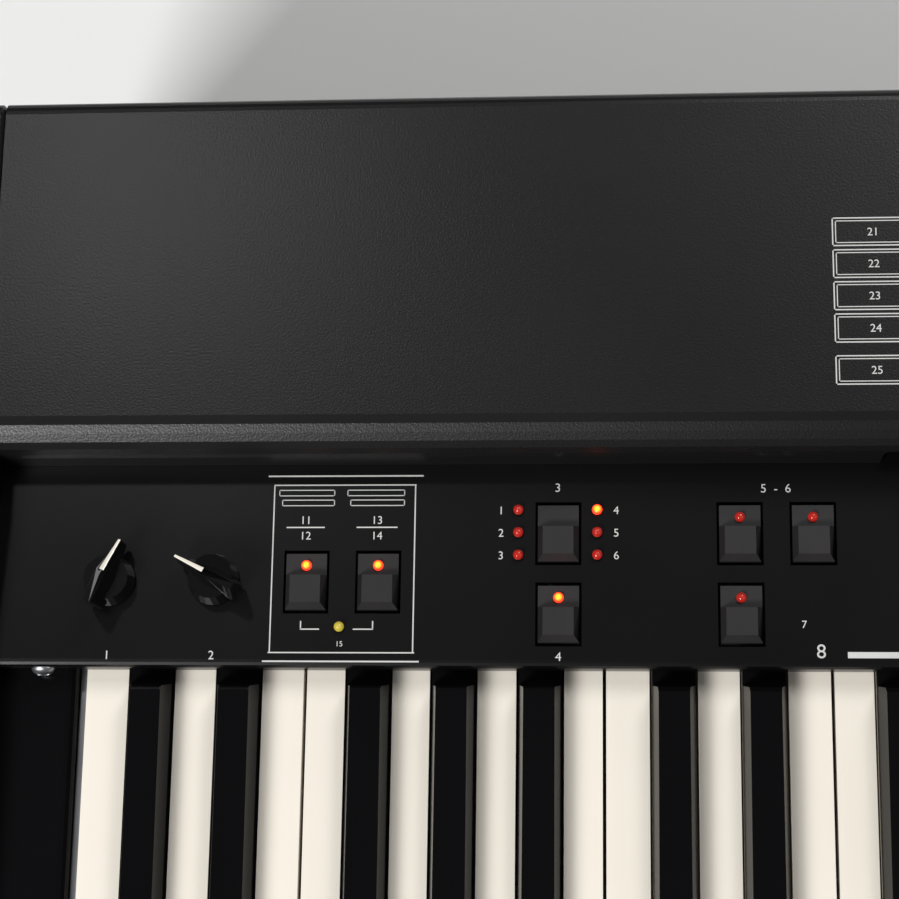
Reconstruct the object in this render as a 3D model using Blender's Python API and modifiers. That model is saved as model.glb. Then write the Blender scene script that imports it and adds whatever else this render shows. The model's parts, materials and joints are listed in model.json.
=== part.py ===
"""Portable electronic organ with two manuals, drawbars and a control panel.

Metres, +Z up, player at -Y. The origin is the middle of the footprint, on the floor.
Lengths ending in _Y are places along the depth, those ending in _Z are heights.
"""
import math

import bmesh
import bpy
from mathutils import Matrix, Vector

MM = 0.001
GAP = 0.3 * MM                    # clearance between pieces that touch or slide

# Keyboard, the same for both manuals
NATURALS = 36                     # white keys, C to C over five octaves
NATURAL_PITCH = 23.5 * MM
NATURALS_PER_OCTAVE = 7
KEY_GAP = 1.1 * MM
NATURAL_LENGTH = 140 * MM         # visible, from the panel's lip to the front
NATURAL_SKIRT = 20 * MM
NATURAL_NOSE_RADIUS = 5 * MM
KEY_WALL = 1.6 * MM
KEY_TOP_WALL = 2.5 * MM
SHARP_LENGTH = 93 * MM            # from the panel's lip to the foot of its front slope
SHARP_HEIGHT = 10.5 * MM
SHARP_FOOT_WIDTH = 13.7 * MM
SHARP_TOP_WIDTH = 9.6 * MM
SHARP_SHANK_WIDTH = 10 * MM
SHARP_SHANK_RISE = 1 * MM
SHARP_REAR_SETBACK = 6 * MM
SLOT_WIDTH = 15 * MM              # between the necks of two naturals
SHARP_CENTRES = {0: 21.5 * MM, 1: 49.4 * MM, 3: 90.6 * MM, 4: 117.4 * MM, 5: 144.5 * MM}
KEY_BODY = 12 * MM                # depth of a key behind its skirt
KEY_STEP = 6 * MM                 # drop of a key's top where it goes under the panel
PIVOT_SETBACK = 45 * MM           # hinge rod behind the panel's lip
PIVOT_DROP = 11.7 * MM            # hinge rod below the natural's top
PIVOT_RADIUS = 2 * MM
HOOK_HALF = 7 * MM
HOOK_DEPTH = 3.8 * MM
KEY_DIP_DEGREES = 3.1
FREE_NATURALS = 8                 # the lowest octave's keys are pieces of their own
FREE_SHARPS = 5

# Key frames
FRAME_DEPTH = 39.7 * MM
FRAME_SHEET = 2 * MM
FRAME_FRONT_SETBACK = 14 * MM     # behind the naturals' front edge
FRAME_WALL_TOP = 32 * MM          # below the naturals' top
FRAME_REAR_REACH = 12 * MM        # behind the hinge rod
FRAME_REAR_TOP = 20 * MM
POST_DEPTH = 8 * MM
POST_TOP = 13.5 * MM
SADDLE_THICKNESS = 1.5 * MM
RAIL_DEPTH = 2.5 * MM             # rail behind the keys that share it
RAIL_DROP = 1 * MM                # rail's top below the keys' rear ends

# Case
MANUAL_SETBACK = 122 * MM         # lower manual's front to upper manual's front
MANUAL_RISE = 66 * MM
PANEL_RISE = 9 * MM               # panel above the upper naturals
PANEL_DEPTH = 64.7 * MM
PANEL_SHEET = 2 * MM
PANEL_SHELF = 95 * MM             # the panel's reach under the deck
PANEL_LIP = 6.5 * MM
PANEL_LIP_RADIUS = 2.5 * MM
DECK_RISE = 31 * MM
DECK_SHEET = 2 * MM
DECK_NOSE_RADIUS = 11 * MM
DECK_REAR_RADIUS = 5 * MM
DECK_REAR_FLANGE = 18 * MM
LIP_TO_REAR = 182 * MM
CHEEK_THICKNESS = 18 * MM
END_SPACE = 29 * MM               # cheek to the first key
KEY_SIDE_SPACE = 2.8 * MM         # end block to the first key
SLIP_THICKNESS = 15.7 * MM
SLIP_GAP = 2.3 * MM
SLIP_HEIGHT = 38 * MM
UPPER_SLIP_THICKNESS = 8 * MM
UPPER_SLIP_HEIGHT = 29 * MM
BLOCK_RISE = 1 * MM
BLOCK_EDGE_RADIUS = 4 * MM
BLOCK_NOSE_RADIUS = 8 * MM
BASE_THICKNESS = 12 * MM
FOOT_HEIGHT = 10 * MM
FOOT_RADIUS = 15 * MM
FOOT_INSET = 45 * MM
REAR_SHEET = 2 * MM
REAR_RECESS = 3.5 * MM

# Controls, placed from the left edge of the lowest key and back from the panel's lip
BUTTON_HOLE = (14.4 * MM, 20.1 * MM)
BUTTON_CAP = (12.8 * MM, 17.8 * MM)
BUTTON_TRAVEL = 1.5 * MM
BUTTON_FLAT = 0.4 * MM            # lamp part of the cap above the panel
BUTTON_PLATEAU = 3 * MM           # finger part of the cap above the panel
BUTTON_SKIRT = 4.5 * MM
BUTTON_STEP_BACK = 2.2 * MM       # the step behind the cap's middle
BUTTON_SLOPE = 2 * MM
STEM_RADIUS = 2 * MM
STEM_LENGTH = 4 * MM
LAMP_RADIUS = 1.5 * MM
LAMP_BACK = 5.2 * MM              # a cap's lamp behind the cap's middle
BUTTONS = {
    "rotor_run_button": (71.1 * MM, 27.0 * MM, True),
    "rotor_speed_button": (93.8 * MM, 27.0 * MM, True),
    "vibrato_select_button": (150.3 * MM, 42.4 * MM, False),
    "vibrato_on_button": (150.4 * MM, 16.8 * MM, True),
    "preset_left_button": (206.8 * MM, 42.3 * MM, True),
    "preset_right_button": (229.4 * MM, 42.3 * MM, True),
    "hold_button": (206.9 * MM, 16.8 * MM, True),
    "percussion_on_button": (706.0 * MM, 29.6 * MM, True),
    "percussion_soft_button": (728.6 * MM, 29.6 * MM, True),
    "percussion_fast_button": (751.2 * MM, 29.6 * MM, True),
    "percussion_third_button": (773.8 * MM, 29.6 * MM, True),
}
PANEL_LAMP_COLUMNS = (137.75 * MM, 162.45 * MM)
PANEL_LAMP_ROWS = (49.9 * MM, 42.7 * MM, 35.5 * MM)
ROTOR_LAMP = (81.9 * MM, 12.7 * MM)
LAMP_HOLE_RADIUS = 1.8 * MM
LAMP_STAND = 0.8 * MM             # lamp's shoulder above the panel
KNOBS = {
    "volume_knob": (8.5 * MM, 27.3 * MM, -23.0),
    "drive_knob": (41.7 * MM, 27.6 * MM, 61.6),
}
KNOB_RADIUS = 8.2 * MM
KNOB_TOP_RADIUS = 7.0 * MM
KNOB_SKIRT = 6 * MM
KNOB_HEIGHT = 15 * MM
KNOB_POINTER = 12.3 * MM          # axis to the pointer's tip
KNOB_TAIL = 9.7 * MM
KNOB_WIDTH = 7.4 * MM
KNOB_TAIL_WIDTH = 6.0 * MM
KNOB_TIP_WIDTH = 1.6 * MM
KNOB_SHAFT_RADIUS = 3 * MM
KNOB_SHAFT_LENGTH = 10 * MM
KNOB_HOLE_RADIUS = 4 * MM
POT_RADIUS = 8 * MM
POT_HEIGHT = 7.5 * MM

# Drawbars
DRAWBAR_PITCH = 18.5 * MM
DRAWBAR_GROUPS = {"upper": (267.75 * MM, 9), "pedal": (459.5 * MM, 2), "lower": (522 * MM, 9)}
DRAWBAR_TRAVEL = 48 * MM
BAR_SIZE = (11 * MM, 4 * MM)
BAR_RISE = 3 * MM                 # underside of a bar above the panel
BAR_LENGTH = 100 * MM
CAP_SIZE = (14 * MM, 13 * MM)
CAP_RISE = 13 * MM
CAP_FOOT = 0.6 * MM
CAP_TAPER = 1.6 * MM
WINDOW_MARGIN = 17.25 * MM        # window's end to the first bar's middle
WINDOW_HEIGHT = 13.5 * MM
WINDOW_RADIUS = 3 * MM
GUIDE_SETBACK = 6.3 * MM          # behind the deck's fascia
GUIDE_DEPTH = 65 * MM
GUIDE_HEIGHT = 9.7 * MM
GUIDE_SIDE = 4 * MM

# Electronics and the rear
BOARD_SHEET = 1.6 * MM
BOARD_DROP = 9.4 * MM             # panel board's top below the panel's underside
BOARD_MARGIN = 12 * MM
SWITCH_BODY = 9.5 * MM
SWITCH_HEIGHT = 4.3 * MM
SPACER_RADIUS = 3 * MM
SPACERS = 4
MAIN_BOARD = (-250 * MM, 60 * MM, 20 * MM, 180 * MM)
MAIN_BOARD_LIFT = 8 * MM
SUPPLY = (170 * MM, 330 * MM, 60 * MM, 160 * MM)
SUPPLY_HEIGHT = 40 * MM
INLET_X = 300 * MM
INLET_Z = 52 * MM
INLET_FLANGE = (56 * MM, 30 * MM)
INLET_BODY = (50 * MM, 25 * MM)
INLET_DEPTH = 24 * MM
INLET_FLANGE_THICKNESS = 2 * MM
SOCKET_OFFSET = 9 * MM
SOCKET_SIZE = (24.6 * MM, 16.6 * MM)
SOCKET_DEPTH = 16 * MM
SOCKET_PIN = (2 * MM, 4 * MM)
SOCKET_PIN_PITCH = 7 * MM
SOCKET_PIN_DROP = 2.2 * MM
ROCKER_OFFSET = 15.5 * MM
ROCKER_SIZE = (11 * MM, 19 * MM)
ROCKER_TILT = 9
ROCKER_DEPTH = 10 * MM
ROCKER_PIVOT_DEPTH = 3 * MM
JACKS = 4
JACK_PITCH = 30 * MM
JACK_X = -330 * MM
JACK_Z = 50 * MM
JACK_BODY = 16 * MM
JACK_NOSE_RADIUS = 5.5 * MM
JACK_BORE_RADIUS = 3.3 * MM
JACK_DEPTH = 18 * MM
JACK_NOSE_STAND = 2.3 * MM

# Worked out from the sizes above
KEYS_WIDTH = NATURALS * NATURAL_PITCH
INNER_HALF = KEYS_WIDTH / 2 + END_SPACE
CASE_HALF = INNER_HALF + CHEEK_THICKNESS
CASE_DEPTH = LIP_TO_REAR + NATURAL_LENGTH + MANUAL_SETBACK + SLIP_GAP + SLIP_THICKNESS
FRONT_Y = -CASE_DEPTH / 2
REAR_Y = CASE_DEPTH / 2
KEYS_X = -KEYS_WIDTH / 2
BLOCK_HALF = KEYS_WIDTH / 2 + KEY_SIDE_SPACE
FRAME_HALF = BLOCK_HALF - GAP
UPPER_LIP_Y = REAR_Y - LIP_TO_REAR
LOWER_LIP_Y = UPPER_LIP_Y - MANUAL_SETBACK
BASE_Z = FOOT_HEIGHT + GAP
FLOOR_Z = BASE_Z + BASE_THICKNESS
LOWER_TOP_Z = FLOOR_Z + GAP + FRAME_DEPTH
UPPER_TOP_Z = LOWER_TOP_Z + MANUAL_RISE
PANEL_Z = UPPER_TOP_Z + PANEL_RISE
DECK_Z = UPPER_TOP_Z + DECK_RISE
FASCIA_Y = UPPER_LIP_Y + PANEL_DEPTH
REAR_PANEL_Y = REAR_Y - REAR_RECESS
BOARD_Z = PANEL_Z - PANEL_SHEET - BOARD_DROP
OCTAVE = NATURALS_PER_OCTAVE * NATURAL_PITCH
PIVOT = (PIVOT_SETBACK, -PIVOT_DROP)


def new_material(name, colour, roughness, metallic=0.0):
    """Principled material with one colour."""
    material = bpy.data.materials.new(name)
    material.use_nodes = True
    shader = material.node_tree.nodes["Principled BSDF"]
    shader.inputs["Base Color"].default_value = (*colour, 1.0)
    shader.inputs["Roughness"].default_value = roughness
    shader.inputs["Metallic"].default_value = metallic
    material.diffuse_color = (*colour, 1.0)
    return material


def clear_scene():
    for item in list(bpy.data.objects):
        bpy.data.objects.remove(item, do_unlink=True)
    parts = bpy.data.collections.new("electronic_organ")
    tools = bpy.data.collections.new("cutters")
    for collection in (parts, tools):
        bpy.context.scene.collection.children.link(collection)
    return parts, tools


PARTS, CUTTERS = clear_scene()
BLACK_PAINT = new_material("black_textured_paint", (0.022, 0.021, 0.022), 0.45)
PANEL_PAINT = new_material("black_satin_paint", (0.012, 0.012, 0.013), 0.35)
BLACK_GLOSS = new_material("black_gloss_plastic", (0.008, 0.008, 0.009), 0.12)
BUTTON_BLACK = new_material("button_plastic", (0.035, 0.033, 0.034), 0.5)
IVORY = new_material("ivory_plastic", (0.86, 0.80, 0.72), 0.22)
BROWN = new_material("brown_plastic", (0.13, 0.04, 0.018), 0.3)
WHITE = new_material("white_plastic", (0.8, 0.79, 0.76), 0.3)
STEEL = new_material("zinc_steel", (0.55, 0.56, 0.57), 0.4, 1.0)
BOARD_GREEN = new_material("circuit_board", (0.02, 0.12, 0.05), 0.4)
RUBBER = new_material("rubber", (0.02, 0.02, 0.02), 0.85)
FIBREBOARD = new_material("black_fibreboard", (0.03, 0.027, 0.025), 0.7)


def place(name, mesh, origin, collection):
    """Object around a mesh given in scene coordinates, with its own origin."""
    mesh.transform(Matrix.Translation(-Vector(origin)))
    item = bpy.data.objects.new(name, mesh)
    item.location = origin
    collection.objects.link(item)
    return item


def as_part(item, name, material, origin=None):
    """Name a solid, finish it and move it from the cutters to the parts."""
    item.name = item.data.name = name
    item.data.materials.clear()
    item.data.materials.append(material)
    if origin is not None:
        item.data.transform(Matrix.Translation(item.location - Vector(origin)))
        item.location = origin
    CUTTERS.objects.unlink(item)
    PARTS.objects.link(item)
    item.hide_render = False
    item.display_type = "TEXTURED"
    return item


def as_tool(mesh):
    """A solid in scene coordinates that cuts or joins another one."""
    item = place("tool", mesh, (0, 0, 0), CUTTERS)
    item.hide_render = True
    item.display_type = "WIRE"
    return item


def rounded(corners, steps=4, closed=True):
    """Outline through corners (u, v, radius), each radius as an arc of some steps."""
    points = []
    count = len(corners)
    for index, (u, v, radius) in enumerate(corners):
        here = Vector((u, v))
        if radius == 0 or (not closed and index in (0, count - 1)):
            points.append((u, v))
            continue
        before = (Vector(corners[index - 1][:2]) - here).normalized()
        after = (Vector(corners[(index + 1) % count][:2]) - here).normalized()
        half = before.angle(after) / 2
        centre = here + (before + after).normalized() * radius / math.sin(half)
        start = here + before * radius / math.tan(half) - centre
        sweep = start.angle_signed(here + after * radius / math.tan(half) - centre)
        for step in range(steps + 1):
            arm = start.copy()
            arm.rotate(Matrix.Rotation(-sweep * step / steps, 2))
            points.append(tuple(centre + arm))
    return points


def curve_mesh(outlines, thickness, filled=True):
    """Mesh of flat outlines given a thickness, as welded as its curve allows."""
    curve = bpy.data.curves.new("outline", "CURVE")
    curve.dimensions = "2D" if filled else "3D"
    if filled:
        curve.fill_mode = "BOTH"
    curve.extrude = thickness / 2
    for outline in outlines:
        spline = curve.splines.new("POLY")
        spline.points.add(len(outline) - 1)
        for point, (u, v) in zip(spline.points, outline):
            point.co = (u, v, 0, 1)
        spline.use_cyclic_u = filled
    item = bpy.data.objects.new("outline", curve)
    bpy.context.scene.collection.objects.link(item)
    graph = bpy.context.evaluated_depsgraph_get()
    mesh = bpy.data.meshes.new_from_object(item.evaluated_get(graph))
    bpy.data.objects.remove(item)
    shape = bmesh.new()
    shape.from_mesh(mesh)
    bmesh.ops.remove_doubles(shape, verts=shape.verts, dist=0.00001)
    if filled:
        bmesh.ops.dissolve_limit(shape, angle_limit=0.001, verts=shape.verts, edges=shape.edges)
        bmesh.ops.recalc_face_normals(shape, faces=shape.faces)
    shape.to_mesh(mesh)
    shape.free()
    return mesh


TURN = {
    "X": Matrix(((0, 0, 1, 0), (1, 0, 0, 0), (0, 1, 0, 0), (0, 0, 0, 1))),
    "Y": Matrix(((1, 0, 0, 0), (0, 0, -1, 0), (0, 1, 0, 0), (0, 0, 0, 1))),
    "Z": Matrix.Identity(4),
}


def prisms(outlines, axis, low, high):
    """Solid outlines carried along an axis: (y, z) on X, (x, z) on Y, (x, y) on Z."""
    mesh = curve_mesh(outlines, high - low)
    middle = (low + high) / 2
    shift = {"X": (middle, 0, 0), "Y": (0, middle, 0), "Z": (0, 0, middle)}[axis]
    mesh.transform(Matrix.Translation(shift) @ TURN[axis])
    return as_tool(mesh)


def prism(outline, axis, low, high):
    return prisms([outline], axis, low, high)


def sheet(path, thickness, low, high):
    """Bent sheet: an open path (y, z) carried along X and thickened to its right."""
    mesh = curve_mesh([path], high - low, filled=False)
    mesh.transform(Matrix.Translation(((low + high) / 2, 0, 0)) @ TURN["X"])
    item = as_tool(mesh)
    wall = item.modifiers.new("sheet", "SOLIDIFY")
    wall.thickness = thickness
    wall.offset = -1
    wall.use_even_offset = True
    return item


def box(x, y, z):
    """Box between (low, high) pairs."""
    shape = bmesh.new()
    bmesh.ops.create_cube(shape, size=1)
    size = [pair[1] - pair[0] for pair in (x, y, z)]
    centre = [(pair[1] + pair[0]) / 2 for pair in (x, y, z)]
    shape.transform(Matrix.Translation(centre) @ Matrix.Diagonal((*size, 1)))
    mesh = bpy.data.meshes.new("box")
    shape.to_mesh(mesh)
    shape.free()
    return as_tool(mesh)


def cylinder(axis, centre, low, high, radius, top_radius=None, segments=16):
    """Cylinder or cone along an axis; centre holds the other two coordinates."""
    shape = bmesh.new()
    upper = radius if top_radius is None else top_radius
    bmesh.ops.create_cone(shape, cap_ends=True, segments=segments, radius1=radius,
                          radius2=upper, depth=high - low)
    middle = (low + high) / 2
    u, v = centre
    spot = {"X": (middle, u, v), "Y": (u, middle, v), "Z": (u, v, middle)}[axis]
    turn = {"X": Matrix.Rotation(math.pi / 2, 4, "Y"), "Z": Matrix.Identity(4),
            "Y": Matrix.Rotation(-math.pi / 2, 4, "X")}[axis]
    shape.transform(Matrix.Translation(spot) @ turn)
    mesh = bpy.data.meshes.new("cylinder")
    shape.to_mesh(mesh)
    shape.free()
    return as_tool(mesh)


def dome(centre, radius):
    """Small ball whose upper half shows as a lamp."""
    shape = bmesh.new()
    bmesh.ops.create_uvsphere(shape, u_segments=8, v_segments=4, radius=radius)
    shape.transform(Matrix.Translation(centre))
    mesh = bpy.data.meshes.new("dome")
    shape.to_mesh(mesh)
    shape.free()
    return as_tool(mesh)


def gather(items):
    """One tool holding several separate solids."""
    shape = bmesh.new()
    for item in items:
        shape.from_mesh(item.data)
        bpy.data.objects.remove(item)
    mesh = bpy.data.meshes.new("group")
    shape.to_mesh(mesh)
    shape.free()
    return as_tool(mesh)


def combine(item, tool, operation):
    step = item.modifiers.new(operation.lower(), "BOOLEAN")
    step.operation = operation
    step.solver = "EXACT"
    step.object = tool
    return item


def cut(item, tool):
    return combine(item, tool, "DIFFERENCE")


def fuse(item, tool):
    return combine(item, tool, "UNION")


def soften(item, width, segments=2, degrees=30):
    """Rounded edges where faces meet at more than some degrees."""
    step = item.modifiers.new("edges", "BEVEL")
    step.width = width
    step.segments = segments
    step.limit_method = "ANGLE"
    step.angle_limit = math.radians(degrees)
    step.use_clamp_overlap = True
    return item


def baked(item):
    """Replace a tool by its evaluated shape, so that its points can be moved."""
    graph = bpy.context.evaluated_depsgraph_get()
    mesh = bpy.data.meshes.new_from_object(item.evaluated_get(graph))
    bpy.data.objects.remove(item)
    return as_tool(mesh)


def slice_at(shape, point, normal):
    """Add edges where a plane crosses a shape, so that it can bend there."""
    geometry = shape.verts[:] + shape.edges[:] + shape.faces[:]
    bmesh.ops.bisect_plane(shape, geom=geometry, plane_co=point, plane_no=normal,
                           dist=0.000001)


def shifted(outline, lip_y, top_z):
    """Outline from the manual's own frame to the scene's."""
    return [(y + lip_y, z + top_z) for y, z in outline]


def natural_plan(index, inset=0.0, front=-NATURAL_LENGTH, rear=None):
    """Outline (x, y) of a white key seen from above, notched beside its black keys."""
    rear = PIVOT_SETBACK + HOOK_HALF if rear is None else rear
    octave, note = divmod(index, NATURALS_PER_OCTAVE)
    start = KEYS_X + octave * OCTAVE
    left = KEYS_X + index * NATURAL_PITCH + KEY_GAP / 2 + inset
    right = KEYS_X + (index + 1) * NATURAL_PITCH - KEY_GAP / 2 - inset
    shoulder = -SHARP_LENGTH - KEY_GAP - inset
    points = [(left, front), (right, front)]
    neck_right, neck_left = right, left
    if note in SHARP_CENTRES and index < NATURALS - 1:
        neck_right = start + SHARP_CENTRES[note] - SLOT_WIDTH / 2 - inset
        points += [(right, shoulder), (neck_right, shoulder)]
    if note - 1 in SHARP_CENTRES:
        neck_left = start + SHARP_CENTRES[note - 1] + SLOT_WIDTH / 2 + inset
    points += [(neck_right, rear), (neck_left, rear)]
    if neck_left != left:
        points += [(neck_left, shoulder), (left, shoulder)]
    return points


def hinge_end(hooked):
    """Rear end of a key's side outline; a hooked one straddles the hinge rod."""
    y, z = PIVOT
    rear, front = y + HOOK_HALF, y - HOOK_HALF
    foot = z - HOOK_DEPTH
    points = [(rear, -KEY_STEP), (rear, foot)]
    if hooked:
        reach = PIVOT_RADIUS + GAP
        points.append((y + reach, foot))
        for step in range(7):
            angle = math.pi * step / 6
            points.append((y + reach * math.cos(angle), z + reach * math.sin(angle)))
        points.append((y - reach, foot))
    return points + [(front, foot), (front + foot + KEY_BODY, -KEY_BODY)]


def natural_side(hooked):
    """Outline (y, z) of a white key from the side: nose, top, step, hinge, skirt."""
    nose = rounded([(-NATURAL_LENGTH, -NATURAL_SKIRT, 0),
                    (-NATURAL_LENGTH, 0, NATURAL_NOSE_RADIUS),
                    (PANEL_LIP_RADIUS + MM, 0, 0)], steps=4 if hooked else 2, closed=False)
    step = [(PANEL_LIP_RADIUS + MM + KEY_STEP / 3, -KEY_STEP)]
    skirt_end = -SHARP_LENGTH - KEY_STEP
    body_start = -SHARP_LENGTH + NATURAL_SKIRT
    return nose + step + hinge_end(hooked) + [(body_start, -KEY_BODY),
                                              (skirt_end, -NATURAL_SKIRT)]


def sharp_side(hooked):
    """Outline (y, z) of a black key from the side."""
    rear = -SHARP_REAR_SETBACK
    lip = PANEL_LIP_RADIUS + MM
    raised = rounded([(-SHARP_LENGTH, -KEY_BODY, 0), (-SHARP_LENGTH, 0, 0),
                      (-SHARP_LENGTH + SHARP_HEIGHT / 2, SHARP_HEIGHT - MM, 2.5 * MM),
                      (rear, SHARP_HEIGHT, 1.5 * MM), (rear + 1.8 * MM, SHARP_SHANK_RISE, 0)],
                     steps=3 if hooked else 1, closed=False)
    shank = [(lip, SHARP_SHANK_RISE), (lip + KEY_STEP / 3, -KEY_STEP)]
    return raised + shank + hinge_end(hooked)


def sharp_shape(item, centres, lip_y, top_z):
    """Narrow black keys towards their tops, and behind the panel's lip."""
    shape = bmesh.new()
    shape.from_mesh(item.data)
    pinch_start = lip_y + PANEL_LIP_RADIUS + MM
    pinch_end = pinch_start + KEY_STEP / 3
    slice_at(shape, (0, 0, top_z), (0, 0, 1))
    slice_at(shape, (0, pinch_start, 0), (0, 1, 0))
    slice_at(shape, (0, pinch_end, 0), (0, 1, 0))
    for vertex in shape.verts:
        centre = min(centres, key=lambda x: abs(x - vertex.co.x))
        rise = max(0.0, vertex.co.z - top_z) / SHARP_HEIGHT
        width = SHARP_FOOT_WIDTH + (SHARP_TOP_WIDTH - SHARP_FOOT_WIDTH) * rise
        back = min(1.0, max(0.0, (vertex.co.y - pinch_start) / (pinch_end - pinch_start)))
        width += (SHARP_SHANK_WIDTH - width) * back
        vertex.co.x = centre + math.copysign(width / 2, vertex.co.x - centre)
    shape.to_mesh(item.data)
    shape.free()
    return item


def sharp_centres():
    """Middle of every black key, from the left."""
    places = []
    for index in range(NATURALS - 1):
        octave, note = divmod(index, NATURALS_PER_OCTAVE)
        if note in SHARP_CENTRES:
            places.append(KEYS_X + octave * OCTAVE + SHARP_CENTRES[note])
    return places


def natural_solids(indexes, lip_y, top_z, hooked):
    """White keys as one tool: their plans crossed with their side outline."""
    plans = [[(x, y + lip_y) for x, y in natural_plan(index)] for index in indexes]
    keys = prisms(plans, "Z", top_z - FRAME_DEPTH, top_z + FRAME_DEPTH)
    side = prism(shifted(natural_side(hooked), lip_y, top_z), "X", -CASE_HALF, CASE_HALF)
    return combine(keys, side, "INTERSECT")


def sharp_solids(centres, lip_y, top_z, hooked):
    """Black keys as one tool, tapered."""
    half = SHARP_FOOT_WIDTH / 2
    outline = shifted(sharp_side(hooked), lip_y, top_z)
    keys = gather([prism(outline, "X", x - half, x + half) for x in centres])
    return sharp_shape(keys, centres, lip_y, top_z)


def key_pivot(x, lip_y, top_z):
    return (x, lip_y + PIVOT[0], top_z + PIVOT[1])


def free_natural(index, lip_y, top_z):
    """A white key that turns on the hinge rod, hollow from below."""
    key = natural_solids([index], lip_y, top_z, True)
    ceiling = top_z - KEY_TOP_WALL
    plan = natural_plan(index, KEY_WALL, KEY_WALL - NATURAL_LENGTH,
                        PIVOT_SETBACK - HOOK_HALF - KEY_BODY)
    hollow = prism([(x, y + lip_y) for x, y in plan], "Z", ceiling - FRAME_DEPTH, ceiling)
    low = prism(shifted([(-NATURAL_LENGTH, -FRAME_DEPTH), (-NATURAL_LENGTH, -KEY_TOP_WALL),
                         (0, -KEY_TOP_WALL), (0, -KEY_STEP - KEY_TOP_WALL),
                         (PIVOT_SETBACK, -KEY_STEP - KEY_TOP_WALL),
                         (PIVOT_SETBACK, -FRAME_DEPTH)], lip_y, top_z),
                "X", -CASE_HALF, CASE_HALF)
    combine(hollow, low, "INTERSECT")
    key = baked(cut(key, hollow))
    centre = KEYS_X + (index + 0.5) * NATURAL_PITCH
    as_part(key, f"natural_key_{index + 1}", IVORY, key_pivot(centre, lip_y, top_z))
    return key


def free_sharp(number, centre, lip_y, top_z):
    """A black key that turns on the hinge rod, with rounded upper edges."""
    key = sharp_solids([centre], lip_y, top_z, True)
    upper = key.data.attributes.new("bevel_weight_edge", "FLOAT", "EDGE")
    points = key.data.vertices
    for edge in key.data.edges:
        ends = [points[index].co for index in edge.vertices]
        steep = abs(ends[0].z - ends[1].z) > SHARP_HEIGHT / 2
        if all(end.z > top_z + SHARP_HEIGHT / 2 for end in ends) or steep:
            across = abs(ends[0].x - ends[1].x) > SHARP_TOP_WIDTH / 2
            upper.data[edge.index].value = 0.0 if across else 1.0
    as_part(key, f"sharp_key_{number}", BLACK_GLOSS, key_pivot(centre, lip_y, top_z))
    step = key.modifiers.new("upper edges", "BEVEL")
    step.limit_method = "WEIGHT"
    step.width = 0.9 * MM
    step.segments = 2
    return key


def key_set(name, lip_y, top_z, first_natural, first_sharp):
    """Keys moulded to one rail that stands in the frame, and the free keys' hinge rod."""
    y, z = lip_y + PIVOT[0], top_z + PIVOT[1]
    centres = sharp_centres()[first_sharp:]
    end = FRAME_HALF - FRAME_SHEET - GAP
    left = centres[0] - SHARP_SHANK_WIDTH / 2 if first_natural else -end
    floor = top_z - FRAME_DEPTH + FRAME_SHEET
    rail = box((left, end), (y + HOOK_HALF - RAIL_DROP, y + HOOK_HALF + RAIL_DEPTH),
               (floor + GAP, top_z - KEY_STEP - RAIL_DROP))
    fuse(rail, natural_solids(range(first_natural, NATURALS), lip_y, top_z, False))
    fuse(rail, sharp_solids(centres, lip_y, top_z, False))
    if first_natural:
        rod_end = KEYS_X + (first_natural + 0.5) * NATURAL_PITCH
        fuse(rail, cylinder("X", (y, z), -FRAME_HALF + GAP, rod_end, PIVOT_RADIUS, segments=12))
    return as_part(rail, name, IVORY, (0, y, floor))


def key_frame(name, lip_y, top_z, free):
    """Folded steel tray with end plates, rod saddles and guide posts for free keys."""
    pivot_y, pivot_z = lip_y + PIVOT[0], top_z + PIVOT[1]
    front = lip_y - NATURAL_LENGTH + FRAME_FRONT_SETBACK
    rear = pivot_y + FRAME_REAR_REACH
    bottom = top_z - FRAME_DEPTH
    floor = bottom + FRAME_SHEET
    tray = sheet([(rear, top_z - FRAME_REAR_TOP), (rear, bottom), (front, bottom),
                  (front, top_z - FRAME_WALL_TOP)], FRAME_SHEET, -FRAME_HALF, FRAME_HALF)
    additions = []
    for side in (-1, 1):
        outer, inner = side * FRAME_HALF, side * (FRAME_HALF - FRAME_SHEET)
        additions.append(box(sorted((outer, inner)), (front + MM, rear - MM),
                             (bottom + MM / 2, pivot_z + HOOK_HALF)))
    for octave in range(free // NATURALS_PER_OCTAVE):
        x = KEYS_X + octave * OCTAVE + SHARP_CENTRES[3]
        x += SHARP_SHANK_WIDTH / 4 + SLOT_WIDTH / 4
        additions.append(box((x - SADDLE_THICKNESS / 2, x + SADDLE_THICKNESS / 2),
                             (pivot_y - 2 * PIVOT_RADIUS, pivot_y + 2 * PIVOT_RADIUS),
                             (floor - MM, pivot_z)))
    half = NATURAL_PITCH / 2 - KEY_GAP / 2 - KEY_WALL - 1.5 * GAP
    for index in range(free):
        x = KEYS_X + (index + 0.5) * NATURAL_PITCH
        additions.append(box((x - half, x + half),
                             (front + FRAME_SHEET + GAP, front + FRAME_SHEET + POST_DEPTH),
                             (floor - MM, top_z - POST_TOP)))
    fuse(tray, gather(additions))
    if free:
        cut(tray, cylinder("X", (pivot_y, pivot_z), -CASE_HALF, 0, PIVOT_RADIUS + GAP,
                           segments=12))
    return as_part(tray, name, STEEL, (0, pivot_y, floor))


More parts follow.
